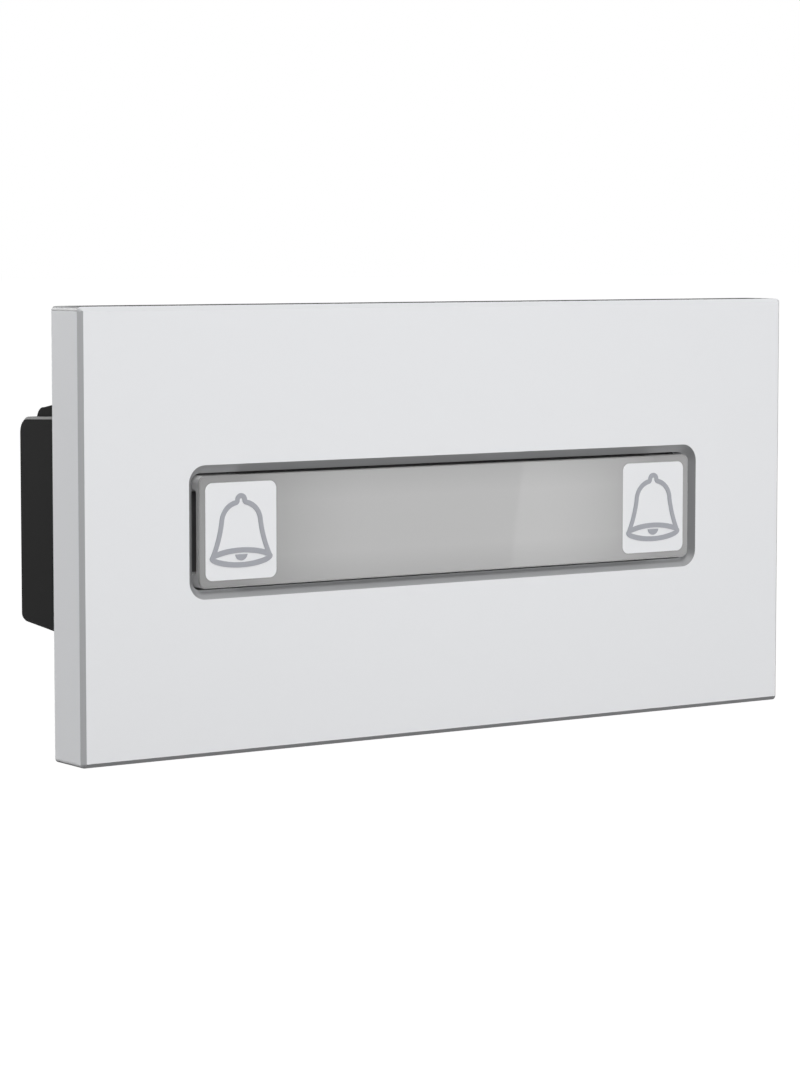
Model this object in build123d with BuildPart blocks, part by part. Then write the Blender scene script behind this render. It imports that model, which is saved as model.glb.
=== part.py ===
from build123d import *

import os

# Intercom call button module, millimetres.
# The origin is the centre of the mounting plane, where the rear rim of the cover meets its frame.
# +X is to the right seen from the front, +Z is up, and the face looks along -Y.
# A level is a distance in front of the mounting plane, so the parts behind it have negative levels.

# Cover plate
plate_width = 100.0
plate_height = 50.4
plate_depth = 6.2
plate_corner_radius = 0.5
plate_edge_chamfer = 0.5
plate_skin = 1.8
plate_rim = 1.7
plate_inner_radius = 0.8

# Window in the cover and the collar behind it
key_gap = 0.25
window_bevel = 0.95
window_bevel_depth = 1.05
collar_wall = 1.0
collar_depth = 1.0

# Ribs and snap arms inside the cover
rib_thickness = 1.0
rib_length = 6.0
rib_pitch = 48.0
rib_inner_edge = 15.5
snap_count = 3
snap_margin = 14.0
snap_width = 6.0
snap_thickness = 1.1
snap_wall_gap = 1.0
snap_hook = 0.7
snap_hook_depth = 0.6
snap_play = 0.1
snap_notch_play = 0.3

# Clear key cap with its two inlaid pads
key_margin = 14.9
key_height = 12.6
key_stand = 0.05
key_corner_radius = 0.85
key_edge_chamfer = 0.12
key_skin = 1.2
key_wall = 1.0
key_end_wall = 1.6
card_ledge_width = 0.5
card_ledge_depth = 0.8
notch_length = 9.5
notch_height = 1.2
notch_depth = 1.1
notch_below_face = 0.55
notch_radius = 0.4
pad_width = 9.36
pad_height = 10.94
pad_radius = 0.87
pad_thickness = 0.4
pad_margin = 0.86

# Bell pictogram, about the centre of its pad
bell_stroke = 0.57
bell_apex = 4.21
bell_knob_radius = 0.77
bell_shoulder_x = 2.85
bell_shoulder_z = 1.0
bell_shoulder_bulge_x = 2.17
bell_shoulder_bulge_z = 2.66
bell_flank_x = 3.33
bell_flank_z = -1.05
bell_mouth_half_width = 4.13
bell_mouth_half_height = 1.125
bell_mouth_z = -3.0
bell_opening_half_width = 3.46
bell_opening_half_height = 0.54
clapper_half_width = 0.81
clapper_top = -2.65
clapper_bottom = -3.35
mark_thickness = 0.06

# Name card, diffuser and the carrier behind them
cap_fit = 0.1
card_thickness = 0.3
diffuser_thickness = 1.0
key_flange_margin_x = 2.0
key_flange_margin_z = 1.8
key_flange_thickness = 1.0
key_travel = 0.8
stop_play = 0.05
light_window_height = 6.0
middle_light_window = 14.0
side_light_window = 8.0
boss_reach = 4.4
boss_rib = 1.2
leg_width = 1.6
leg_height = 3.0
leg_length = 2.9
leg_offset_z = 4.6

# Guide frame
guide_lip = 2.3
guide_rim_thickness = 0.8
guide_clearance = 0.2
guide_wall = 1.2
guide_corner_radius = 1.5
pocket_clearance = 0.25
bridge_width = 6.0
bridge_thickness = 1.2
bridge_height = 2.2
spigot_depth = 1.2
spigot_wall = 1.0
ear_thickness = 1.4
ear_half_height = 2.6
ear_margin = 2.2

# Return springs, bowed strips of sheet steel
spring_step = 7.0
spring_span = 11.0
spring_width = 4.0
spring_thickness = 0.2
spring_end_play = 0.02
peg_size = 1.4
peg_height = 0.8
peg_play = 0.2

# Housing
flange_play = 0.25
flange_thickness = 1.6
gasket_thickness = 0.8
gasket_width = 2.4
gasket_play = 0.3
gasket_edge = 0.05
housing_depth = 17.0
housing_inset = 4.7
housing_root_top = 12.95
housing_root_bottom = -12.65
housing_end_draft = 0.3
housing_rear_top = 12.24
housing_rear_bottom = -11.22
housing_wall = 1.6
housing_rear_wall = 1.6
housing_top_radius = 1.9
housing_bottom_radius = 1.0
housing_end_chamfer = 0.3
housing_rib = 1.0
rib_margin = 6.3
pilot_depth = 6.0

# Catch noses on the housing
nose_width = 6.0
upper_nose_margin = 4.3
lower_nose_step = 21.0
nose_catch = 2.2
nose_height = 2.4
nose_tail = 14.5
nose_plateau = 12.9
nose_plateau_height = 1.05
nose_tail_radius = 1.6
nose_root = 0.8

# Circuit board, screws and posts
board_play = 0.6
board_height = 20.0
board_thickness = 1.6
board_level = -4.0
screw_margin = 2.0
screw_diameter = 2.0
screw_hole_play = 0.2
screw_head_diameter = 3.8
screw_head_height = 1.4
screw_length = 8.0
screw_recess = 0.7
screw_cross_length = 2.0
screw_cross_width = 0.5
pilot_play = 0.02
post_diameter = 4.4

# Parts on the board
switch_margin = 8.1
switch_size = 6.0
switch_height = 3.5
plunger_diameter = 3.4
plunger_play = 0.05
plunger_stand = 1.0
plunger_inside = 1.6
switch_bore_floor = 0.2
switch_corner = 0.5
led_step = 7.0
led_width = 3.5
led_height = 2.8
led_thickness = 1.9
led_rim = 0.5
led_recess = 0.3
controller_width = 10.3
controller_height = 7.5
controller_thickness = 1.2
controller_leads = 8
driver_width = 5.0
driver_height = 4.0
driver_thickness = 1.5
driver_leads = 4
lead_pitch = 1.27
lead_width = 0.4
lead_reach = 1.0
lead_thickness = 0.2
capacitor_diameter = 6.3
capacitor_length = 5.8
capacitor_base = 6.6
capacitor_base_thickness = 0.8
chip_gap = 1.0

# Bus sockets
socket_rib_gap = 4.0
socket_width = 12.0
socket_height = 8.0
socket_wall = 1.0
socket_floor = 2.0
socket_recess = 0.2
socket_key_width = 3.0
socket_window_play = 0.3
socket_window_chamfer = 0.5
pin_size = 0.64
pin_pitch = 2.54
pin_columns = 3
pin_rows = 2
pin_length = 6.2

# Levels that the sizes above lead to
key_face = plate_depth + key_stand
flange_front = gasket_thickness + flange_thickness
skin_rear = plate_depth - plate_skin
guide_front = flange_front + guide_rim_thickness
key_flange_front = flange_front - stop_play
key_flange_rear = key_flange_front - key_flange_thickness
card_front = key_face - key_skin - card_ledge_depth
card_rear = card_front - card_thickness
diffuser_rear = card_rear - diffuser_thickness
board_rear = board_level - board_thickness
switch_front = board_level + switch_height
plunger_front = switch_front + plunger_stand
bridge_front = board_level + bridge_height
housing_floor = housing_rear_wall - housing_depth
socket_mouth = housing_floor + socket_recess

# Outlines that the sizes above lead to
key_width = plate_width - 2 * key_margin
window_width = key_width + 2 * key_gap
window_height = key_height + 2 * key_gap
window_radius = key_corner_radius + key_gap
plate_inner_width = plate_width - 2 * plate_rim
plate_inner_height = plate_height - 2 * plate_rim
collar_width = window_width + 2 * collar_wall
collar_height = window_height + 2 * collar_wall
collar_radius = window_radius + collar_wall
cavity_width = key_width - 2 * key_end_wall
cavity_height = key_height - 2 * key_wall
card_width = cavity_width - 2 * cap_fit
card_height = cavity_height - 2 * cap_fit
key_flange_width = key_width + 2 * key_flange_margin_x
key_flange_height = key_height + 2 * key_flange_margin_z
pocket_width = key_flange_width + 2 * pocket_clearance
pocket_height = key_flange_height + 2 * pocket_clearance
flange_width = plate_inner_width - 2 * flange_play
flange_height = plate_inner_height - 2 * flange_play
housing_root_half_width = plate_width / 2 - housing_inset
housing_rear_half_width = housing_root_half_width - housing_end_draft
mouth_half_width = housing_root_half_width - housing_wall
mouth_top = housing_root_top - housing_wall
mouth_bottom = housing_root_bottom + housing_wall
mouth_height = mouth_top - mouth_bottom
mouth_middle = (mouth_top + mouth_bottom) / 2
floor_half_width = housing_rear_half_width - housing_wall
floor_height = housing_rear_top - housing_rear_bottom - 2 * housing_wall
floor_middle = (housing_rear_top + housing_rear_bottom) / 2
board_width = 2 * (floor_half_width - board_play)
screw_offset = board_width / 2 - screw_margin
rib_offset = screw_offset - rib_margin
upper_nose_offset = housing_root_half_width - upper_nose_margin
lower_nose_offset = upper_nose_offset - lower_nose_step
snap_pitch = plate_width / 2 - snap_margin
switch_offset = key_width / 2 - switch_margin
led_offset = switch_offset - led_step
spring_offset = led_offset - spring_step
socket_inner_edge = rib_offset - housing_rib / 2 - socket_rib_gap - socket_width
socket_offset = socket_inner_edge + socket_width / 2
capacitor_offset = chip_gap + capacitor_base / 2 - socket_inner_edge
driver_offset = socket_inner_edge - chip_gap - driver_width / 2
ear_reach = screw_offset + ear_margin - pocket_width / 2
pad_offset = key_width / 2 - pad_margin - pad_width / 2
snap_outer = plate_inner_height / 2 - snap_wall_gap
snap_inner = snap_outer - snap_thickness
notch_bottom = snap_inner - snap_play
flange_notch = plate_inner_height / 2 - notch_bottom
spring_rise = key_flange_rear - bridge_front - 2 * spring_end_play
spring_radius = ((spring_span / 2) ** 2 + spring_rise**2) / (2 * spring_rise)


def level(distance, across=0.0, up=0.0):
    """Plane parallel to the face, that far in front of the mounting plane, centred across and up."""
    return Plane((across, -distance, up), x_dir=(1, 0, 0), z_dir=(0, -1, 0))


def tub_top(depth):
    """Height of the tub's upper wall at a depth behind the mounting plane."""
    share = (depth + gasket_thickness) / (housing_depth + gasket_thickness)
    return housing_root_top + share * (housing_rear_top - housing_root_top)


def tub_bottom(depth):
    """Height of the tub's lower wall at a depth behind the mounting plane."""
    share = (depth + gasket_thickness) / (housing_depth + gasket_thickness)
    return housing_root_bottom + share * (housing_rear_bottom - housing_root_bottom)


# Cover plate
with BuildPart() as front_plate:
    with BuildSketch(level(0)):
        RectangleRounded(plate_width, plate_height, plate_corner_radius)
    extrude(amount=plate_depth)
    chamfer(front_plate.faces().sort_by(Axis.Y)[0].edges(), length=plate_edge_chamfer)
    with BuildSketch(level(0)):
        RectangleRounded(plate_inner_width, plate_inner_height, plate_inner_radius)
    extrude(amount=skin_rear, mode=Mode.SUBTRACT)
    # Collar that shields the key
    with BuildSketch(level(skin_rear - collar_depth)):
        RectangleRounded(collar_width, collar_height, collar_radius)
    extrude(amount=collar_depth)
    with BuildSketch(level(0)):
        RectangleRounded(window_width, window_height, window_radius)
    extrude(amount=plate_depth, mode=Mode.SUBTRACT)
    # Bevel round the window
    with BuildSketch(level(plate_depth - window_bevel_depth)):
        RectangleRounded(window_width, window_height, window_radius)
    with BuildSketch(level(plate_depth)):
        RectangleRounded(
            window_width + 2 * window_bevel, window_height + 2 * window_bevel, window_radius + window_bevel
        )
    loft(mode=Mode.SUBTRACT)
    # Ribs that seat the cover on the housing's flange
    with BuildSketch(level(flange_front)):
        for side in (-1, 1):
            with Locations((0, side * (rib_inner_edge + rib_length / 2))):
                with GridLocations(rib_pitch, 0, 2, 1):
                    Rectangle(rib_thickness, rib_length)
    extrude(amount=skin_rear - flange_front)
    # Snap arms that reach through the flange and hook behind it
    for side in (-1, 1):
        with BuildSketch(level(gasket_thickness - snap_play - snap_hook_depth)):
            with Locations((0, side * (snap_inner + snap_outer) / 2)):
                with GridLocations(snap_pitch, 0, snap_count, 1):
                    Rectangle(snap_width, snap_thickness)
        extrude(amount=skin_rear - gasket_thickness + snap_play + snap_hook_depth)
        with BuildSketch(level(gasket_thickness - snap_play - snap_hook_depth)):
            with Locations((0, side * (snap_inner - snap_hook / 2))):
                with GridLocations(snap_pitch, 0, snap_count, 1):
                    Rectangle(snap_width, snap_hook)
        extrude(amount=snap_hook_depth)
front_plate.part.label = "front_plate"


# Foam seal between the cover and the guide frame
with BuildPart() as window_seal:
    with BuildSketch(level(guide_front)):
        RectangleRounded(
            collar_width + 2 * (gasket_play + gasket_width),
            collar_height + 2 * (gasket_play + gasket_width),
            collar_radius + gasket_play + gasket_width,
        )
        Rectangle(collar_width + 2 * gasket_play, collar_height + 2 * gasket_play, mode=Mode.SUBTRACT)
    extrude(amount=skin_rear - guide_front)
window_seal.part.label = "window_seal"


# Clear key cap
with BuildPart() as key_lens:
    with BuildSketch(level(key_flange_front)):
        RectangleRounded(key_width, key_height, key_corner_radius)
    extrude(amount=key_face - key_flange_front)
    chamfer(key_lens.faces().sort_by(Axis.Y)[0].edges(), length=key_edge_chamfer)
    with BuildSketch(level(key_flange_front)):
        Rectangle(cavity_width, cavity_height)
    extrude(amount=card_front - key_flange_front, mode=Mode.SUBTRACT)
    with BuildSketch(level(card_front)):
        Rectangle(cavity_width - 2 * card_ledge_width, cavity_height - 2 * card_ledge_width)
    extrude(amount=card_ledge_depth, mode=Mode.SUBTRACT)
    # Pockets for the pads
    with BuildSketch(level(key_face - pad_thickness)):
        with GridLocations(2 * pad_offset, 0, 2, 1):
            RectangleRounded(pad_width, pad_height, pad_radius)
    extrude(amount=pad_thickness, mode=Mode.SUBTRACT)
    # Slot in the left end where the cap is prised out
    with BuildSketch(Plane.YZ.offset(-key_width / 2)):
        with Locations((notch_below_face + notch_height / 2 - key_face, 0)):
            RectangleRounded(notch_height, notch_length, notch_radius)
    extrude(amount=notch_depth, mode=Mode.SUBTRACT)
key_lens.part.label = "key_lens"


# Inlaid pads with the bell pictogram
def bell_mark(across):
    """Printed bell, a stroke of even width with an open mouth and a clapper in it."""
    with BuildPart() as mark:
        with BuildSketch(level(key_face, across)):
            with BuildLine():
                knob_side = (bell_knob_radius, bell_apex - bell_knob_radius)
                shoulder = (bell_shoulder_x, bell_shoulder_z)
                lip = (bell_mouth_half_width, bell_mouth_z)
                RadiusArc((0, bell_apex), knob_side, bell_knob_radius)
                ThreePointArc(knob_side, (bell_shoulder_bulge_x, bell_shoulder_bulge_z), shoulder)
                ThreePointArc(shoulder, (bell_flank_x, bell_flank_z), lip)
                Line(lip, (0, bell_mouth_z))
                mirror(about=Plane.YZ)
            make_face()
            offset(amount=-bell_stroke, kind=Kind.ARC, mode=Mode.SUBTRACT)
            with Locations((0, bell_mouth_z)):
                Ellipse(bell_mouth_half_width, bell_mouth_half_height)
            with BuildLine():
                left_end = (-bell_opening_half_width, bell_mouth_z)
                right_end = (bell_opening_half_width, bell_mouth_z)
                ThreePointArc(left_end, (0, bell_mouth_z + bell_opening_half_height), right_end)
                ThreePointArc(right_end, (0, bell_mouth_z - bell_opening_half_height), left_end)
            make_face(mode=Mode.SUBTRACT)
            with BuildLine():
                clapper_left = (-clapper_half_width, clapper_top)
                clapper_right = (clapper_half_width, clapper_top)
                Line(clapper_left, clapper_right)
                ThreePointArc(clapper_right, (0, clapper_bottom), clapper_left)
            make_face()
        extrude(amount=mark_thickness)
    return mark


def bell_pad(across):
    """White pad that fills its pocket in the cap and carries the mark."""
    with BuildPart() as pad:
        with BuildSketch(level(key_face - pad_thickness, across)):
            RectangleRounded(pad_width, pad_height, pad_radius)
        extrude(amount=pad_thickness)
    return pad


bell_symbol_left = bell_mark(-pad_offset)
bell_symbol_left.part.label = "bell_symbol_left"
bell_symbol_right = bell_mark(pad_offset)
bell_symbol_right.part.label = "bell_symbol_right"
bell_pad_left = bell_pad(-pad_offset)
bell_pad_left.part.label = "bell_pad_left"
bell_pad_right = bell_pad(pad_offset)
bell_pad_right.part.label = "bell_pad_right"


# Blank name card
with BuildPart() as name_card:
    with BuildSketch(level(card_rear)):
        Rectangle(card_width, card_height)
    extrude(amount=card_thickness)
name_card.part.label = "name_card"


# Milky diffuser behind the card
with BuildPart() as light_diffuser:
    with BuildSketch(level(diffuser_rear)):
        Rectangle(card_width, card_height)
    extrude(amount=diffuser_thickness)
light_diffuser.part.label = "light_diffuser"


# Carrier that closes the cap, stops behind the guide frame and presses the switches
with BuildPart() as key_carrier:
    with BuildSketch(level(key_flange_rear)):
        RectangleRounded(key_flange_width, key_flange_height, key_corner_radius)
    extrude(amount=key_flange_thickness)
    with BuildSketch(level(key_flange_front)):
        Rectangle(card_width, card_height)
    extrude(amount=diffuser_rear - key_flange_front)
    with BuildSketch(level(key_flange_rear)):
        Rectangle(middle_light_window, light_window_height)
        with GridLocations(2 * led_offset, 0, 2, 1):
            Rectangle(side_light_window, light_window_height)
    extrude(amount=diffuser_rear - key_flange_rear, mode=Mode.SUBTRACT)
    with BuildSketch(level(plunger_front)):
        with GridLocations(2 * switch_offset, 0, 2, 1):
            Rectangle(boss_reach, boss_rib)
            Rectangle(boss_rib, boss_reach)
    extrude(amount=key_flange_rear - plunger_front)
    with BuildSketch(level(key_flange_rear - peg_height)):
        with GridLocations(2 * spring_offset, 0, 2, 1):
            Rectangle(peg_size, peg_size)
    extrude(amount=peg_height)
    with BuildSketch(level(key_flange_rear - leg_length)):
        with GridLocations(key_flange_width - leg_width, 2 * leg_offset_z, 2, 2):
            Rectangle(leg_width, leg_height)
    extrude(amount=leg_length)
key_carrier.part.label = "key_carrier"


# Guide frame that the key slides in
with BuildPart() as guide_frame:
    with BuildSketch(level(flange_front, up=mouth_middle)):
        RectangleRounded(
            2 * (mouth_half_width + guide_lip), mouth_height + 2 * guide_lip, guide_corner_radius
        )
    extrude(amount=guide_rim_thickness)
    # Spigot that centres the frame in the mouth of the housing
    with BuildSketch(level(flange_front - spigot_depth, up=mouth_middle)):
        Rectangle(2 * (mouth_half_width - guide_clearance), mouth_height - 2 * guide_clearance)
        Rectangle(
            2 * (mouth_half_width - guide_clearance - spigot_wall),
            mouth_height - 2 * (guide_clearance + spigot_wall),
            mode=Mode.SUBTRACT,
        )
    extrude(amount=spigot_depth)
    with BuildSketch(level(board_level)):
        Rectangle(pocket_width + 2 * guide_wall, pocket_height + 2 * guide_wall)
    extrude(amount=flange_front - board_level)
    # Ears for the screws
    with BuildSketch(level(board_level)):
        with GridLocations(pocket_width + ear_reach, 0, 2, 1):
            Rectangle(ear_reach, 2 * ear_half_height)
        with GridLocations(2 * screw_offset, 0, 2, 1):
            Circle(screw_diameter / 2 + screw_hole_play, mode=Mode.SUBTRACT)
    extrude(amount=ear_thickness)
    with BuildSketch(level(board_level)):
        Rectangle(pocket_width, pocket_height)
    extrude(amount=flange_front - board_level, mode=Mode.SUBTRACT)
    with BuildSketch(level(flange_front)):
        RectangleRounded(
            key_width + 2 * guide_clearance,
            key_height + 2 * guide_clearance,
            key_corner_radius + guide_clearance,
        )
    extrude(amount=guide_rim_thickness, mode=Mode.SUBTRACT)
    # Bridges that the return springs stand on
    with BuildSketch(level(bridge_front - bridge_thickness)):
        with GridLocations(2 * spring_offset, 0, 2, 1):
            Rectangle(bridge_width, pocket_height + guide_wall)
    extrude(amount=bridge_thickness)
guide_frame.part.label = "guide_frame"


# Return springs
def return_spring(across):
    """Bowed strip that stands on a bridge with both ends and lifts the carrier at its crown."""
    crown = spring_end_play - key_flange_rear
    hub = crown + spring_radius
    with BuildPart() as spring:
        with BuildSketch(Plane.YZ.offset(across)):
            with Locations((hub, 0)):
                Circle(spring_radius)
                Circle(spring_radius - spring_thickness, mode=Mode.SUBTRACT)
            with Locations((crown + spring_rise / 2, 0)):
                Rectangle(spring_rise, spring_span, mode=Mode.INTERSECT)
        extrude(amount=spring_width / 2, both=True)
        # Hole for the carrier's peg
        with BuildSketch(level(key_flange_rear - peg_height, across)):
            Rectangle(peg_size + 2 * peg_play, peg_size + 2 * peg_play)
        extrude(amount=peg_height, mode=Mode.SUBTRACT)
    return spring


return_spring_left = return_spring(-spring_offset)
return_spring_left.part.label = "return_spring_left"
return_spring_right = return_spring(spring_offset)
return_spring_right.part.label = "return_spring_right"


# Circuit board
with BuildPart() as circuit_board:
    with BuildSketch(level(board_rear)):
        Rectangle(board_width, board_height)
        with GridLocations(2 * screw_offset, 0, 2, 1):
            Circle(screw_diameter / 2 + screw_hole_play, mode=Mode.SUBTRACT)
    extrude(amount=board_thickness)
circuit_board.part.label = "circuit_board"


# Push switches
def switch_body(across):
    """Square switch case with a blind bore for its plunger."""
    with BuildPart() as body:
        with BuildSketch(level(board_level, across)):
            Rectangle(switch_size, switch_size)
        extrude(amount=switch_height)
        chamfer(body.edges().filter_by(Axis.Y), length=switch_corner)
        bore_depth = plunger_inside + key_travel + switch_bore_floor
        with BuildSketch(level(switch_front - bore_depth, across)):
            Circle(plunger_diameter / 2 + plunger_play)
        extrude(amount=bore_depth, mode=Mode.SUBTRACT)
    return body


def switch_plunger(across):
    """Round plunger that stands out of its switch."""
    with BuildPart() as plunger:
        with BuildSketch(level(switch_front - plunger_inside, across)):
            Circle(plunger_diameter / 2)
        extrude(amount=plunger_inside + plunger_stand)
    return plunger


switch_body_left = switch_body(-switch_offset)
switch_body_left.part.label = "switch_body_left"
switch_body_right = switch_body(switch_offset)
switch_body_right.part.label = "switch_body_right"
switch_plunger_left = switch_plunger(-switch_offset)
switch_plunger_left.part.label = "switch_plunger_left"
switch_plunger_right = switch_plunger(switch_offset)
switch_plunger_right.part.label = "switch_plunger_right"


# Backlight lamps
def backlight(across):
    """Surface lamp with a shallow window in its front."""
    with BuildPart() as lamp:
        with BuildSketch(level(board_level, across)):
            Rectangle(led_width, led_height)
        extrude(amount=led_thickness)
        with BuildSketch(level(board_level + led_thickness - led_recess, across)):
            Rectangle(led_width - 2 * led_rim, led_height - 2 * led_rim)
        extrude(amount=led_recess, mode=Mode.SUBTRACT)
    return lamp


backlight_left = backlight(-led_offset)
backlight_left.part.label = "backlight_left"
backlight_middle = backlight(0)
backlight_middle.part.label = "backlight_middle"
backlight_right = backlight(led_offset)
backlight_right.part.label = "backlight_right"


# Chips on the rear of the board
with BuildPart() as controller_chip:
    with BuildSketch(level(board_rear - controller_thickness)):
        Rectangle(controller_width, controller_height)
    extrude(amount=controller_thickness)
    with BuildSketch(level(board_rear - lead_thickness)):
        with GridLocations(lead_pitch, controller_height + lead_reach, controller_leads, 2):
            Rectangle(lead_width, lead_reach)
    extrude(amount=lead_thickness)
controller_chip.part.label = "controller_chip"

with BuildPart() as driver_chip:
    with BuildSketch(level(board_rear - driver_thickness, driver_offset)):
        Rectangle(driver_width, driver_height)
    extrude(amount=driver_thickness)
    with BuildSketch(level(board_rear - lead_thickness, driver_offset)):
        with GridLocations(lead_pitch, driver_height + lead_reach, driver_leads, 2):
            Rectangle(lead_width, lead_reach)
    extrude(amount=lead_thickness)
driver_chip.part.label = "driver_chip"

with BuildPart() as filter_capacitor:
    with BuildSketch(level(board_rear - capacitor_base_thickness, capacitor_offset)):
        Rectangle(capacitor_base, capacitor_base)
    extrude(amount=capacitor_base_thickness)
    with BuildSketch(level(board_rear - capacitor_length, capacitor_offset)):
        Circle(capacitor_diameter / 2)
    extrude(amount=capacitor_length - capacitor_base_thickness)
filter_capacitor.part.label = "filter_capacitor"


# Bus sockets and their contact pins
def bus_socket(across):
    """Shrouded socket that opens to the rear, with a keyway in its upper wall."""
    with BuildPart() as shroud:
        with BuildSketch(level(socket_mouth, across)):
            Rectangle(socket_width, socket_height)
        extrude(amount=board_rear - socket_mouth)
        with BuildSketch(level(socket_mouth, across)):
            Rectangle(socket_width - 2 * socket_wall, socket_height - 2 * socket_wall)
            with Locations((0, (socket_height - socket_wall) / 2)):
                Rectangle(socket_key_width, socket_wall)
        extrude(amount=board_rear - socket_floor - socket_mouth, mode=Mode.SUBTRACT)
        with BuildSketch(level(board_rear - socket_floor, across)):
            with GridLocations(pin_pitch, pin_pitch, pin_columns, pin_rows):
                Rectangle(pin_size, pin_size)
        extrude(amount=socket_floor, mode=Mode.SUBTRACT)
    return shroud


def socket_pins(across):
    """Rows of square pins that stand on the board."""
    with BuildPart() as pins:
        with BuildSketch(level(board_rear - pin_length, across)):
            with GridLocations(pin_pitch, pin_pitch, pin_columns, pin_rows):
                Rectangle(pin_size, pin_size)
        extrude(amount=pin_length)
    return pins


bus_socket_in = bus_socket(-socket_offset)
bus_socket_in.part.label = "bus_socket_in"
bus_socket_out = bus_socket(socket_offset)
bus_socket_out.part.label = "bus_socket_out"
socket_pins_in = socket_pins(-socket_offset)
socket_pins_in.part.label = "socket_pins_in"
socket_pins_out = socket_pins(socket_offset)
socket_pins_out.part.label = "socket_pins_out"


# Screws through the guide frame and the board into the housing
with BuildPart() as board_screws:
    ear_front = board_level + ear_thickness
    with BuildSketch(level(ear_front - screw_length)):
        with GridLocations(2 * screw_offset, 0, 2, 1):
            Circle(screw_diameter / 2)
    extrude(amount=screw_length)
    with BuildSketch(level(ear_front)):
        with GridLocations(2 * screw_offset, 0, 2, 1):
            Circle(screw_head_diameter / 2)
    extrude(amount=screw_head_height)
    with BuildSketch(level(ear_front + screw_head_height - screw_recess)):
        with GridLocations(2 * screw_offset, 0, 2, 1):
            Rectangle(screw_cross_length, screw_cross_width)
            Rectangle(screw_cross_width, screw_cross_length)
    extrude(amount=screw_recess, mode=Mode.SUBTRACT)
board_screws.part.label = "board_screws"


# Housing
with BuildPart() as housing:
    # Side profile of the tub, run across its width and then tapered at both ends
    with BuildSketch(Plane.YZ):
        Polygon(
            (-gasket_thickness, housing_root_top),
            (-gasket_thickness, housing_root_bottom),
            (housing_depth, housing_rear_bottom),
            (housing_depth, housing_rear_top),
            align=None,
        )
    extrude(amount=housing_root_half_width, both=True)
    rear_edges = housing.edges().filter_by(Axis.X).group_by(Axis.Y)[-1].sort_by(Axis.Z)
    fillet(rear_edges[0], radius=housing_bottom_radius)
    fillet(rear_edges[-1], radius=housing_top_radius)
    with BuildSketch(Plane.XY):
        Polygon(
            (-housing_root_half_width, -gasket_thickness),
            (housing_root_half_width, -gasket_thickness),
            (housing_rear_half_width, housing_depth),
            (-housing_rear_half_width, housing_depth),
            align=None,
        )
    extrude(amount=housing_root_top, both=True, mode=Mode.INTERSECT)
    for end_face in (housing.faces().sort_by(Axis.X)[0], housing.faces().sort_by(Axis.X)[-1]):
        root_edge = end_face.edges().sort_by(Axis.Y)[0]
        chamfer([edge for edge in end_face.edges() if edge != root_edge], length=housing_end_chamfer)
    # Flange behind the cover, open to its edge where the snap arms pass
    with BuildSketch(level(gasket_thickness)):
        RectangleRounded(flange_width, flange_height, plate_inner_radius)
        with Locations((0, notch_bottom + flange_notch / 2), (0, -notch_bottom - flange_notch / 2)):
            with GridLocations(snap_pitch, 0, snap_count, 1):
                Rectangle(snap_width + 2 * snap_notch_play, flange_notch, mode=Mode.SUBTRACT)
    extrude(amount=flange_thickness)
    # Catch noses with a steep face towards the cover, at the ends above and nearer the middle below
    for across, wall, side in (
        (-upper_nose_offset, tub_top, 1),
        (upper_nose_offset, tub_top, 1),
        (-lower_nose_offset, tub_bottom, -1),
        (lower_nose_offset, tub_bottom, -1),
    ):
        with BuildSketch(Plane.YZ.offset(across)):
            with BuildLine():
                catch_foot = (nose_catch, wall(nose_catch) - side * nose_root)
                catch_tip = (nose_catch, wall(nose_catch) + side * nose_height)
                tail_top = (nose_plateau, wall(nose_plateau) + side * nose_plateau_height)
                tail_foot = (nose_tail, wall(nose_tail) - side * nose_root)
                Line(catch_foot, catch_tip)
                Line(catch_tip, tail_top)
                RadiusArc(tail_top, (nose_tail, wall(nose_tail)), side * nose_tail_radius)
                Line((nose_tail, wall(nose_tail)), tail_foot)
                Line(tail_foot, catch_foot)
            make_face()
        extrude(amount=nose_width / 2, both=True)
    # Hollow of the tub
    with BuildSketch(level(flange_front, up=mouth_middle)):
        Rectangle(2 * mouth_half_width, mouth_height)
    with BuildSketch(level(housing_floor, up=floor_middle)):
        Rectangle(2 * floor_half_width, floor_height)
    loft(ruled=True, mode=Mode.SUBTRACT)
    # Cross ribs and screw posts that carry the board
    with BuildSketch(level(housing_floor, up=floor_middle)):
        with GridLocations(2 * rib_offset, 0, 2, 1):
            Rectangle(housing_rib, floor_height + housing_wall)
    extrude(amount=board_rear - housing_floor)
    with BuildSketch(level(housing_floor)):
        with GridLocations(2 * screw_offset, 0, 2, 1):
            Circle(post_diameter / 2)
    extrude(amount=board_rear - housing_floor)
    with BuildSketch(level(board_rear - pilot_depth)):
        with GridLocations(2 * screw_offset, 0, 2, 1):
            Circle(screw_diameter / 2 + pilot_play)
    extrude(amount=pilot_depth, mode=Mode.SUBTRACT)
    # Windows for the bus sockets, eased on the outside
    with BuildSketch(level(-housing_depth)):
        with GridLocations(2 * socket_offset, 0, 2, 1):
            Rectangle(socket_width + 2 * socket_window_play, socket_height + 2 * socket_window_play)
    extrude(amount=housing_rear_wall, mode=Mode.SUBTRACT)
    rear_face = housing.faces().sort_by(Axis.Y)[-1]
    chamfer(rear_face.inner_wires().edges(), length=socket_window_chamfer)
housing.part.label = "housing"


# Foam gasket between the flange and the mounting frame
with BuildPart() as mounting_gasket:
    gasket_reach = gasket_play + gasket_width
    with BuildSketch(level(0, up=mouth_middle)):
        RectangleRounded(
            flange_width - 2 * gasket_edge,
            housing_root_top - housing_root_bottom + 2 * gasket_reach,
            gasket_reach,
        )
        Rectangle(
            2 * (housing_root_half_width + gasket_play),
            housing_root_top - housing_root_bottom + 2 * gasket_play,
            mode=Mode.SUBTRACT,
        )
    extrude(amount=gasket_thickness)
mounting_gasket.part.label = "mounting_gasket"


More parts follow.
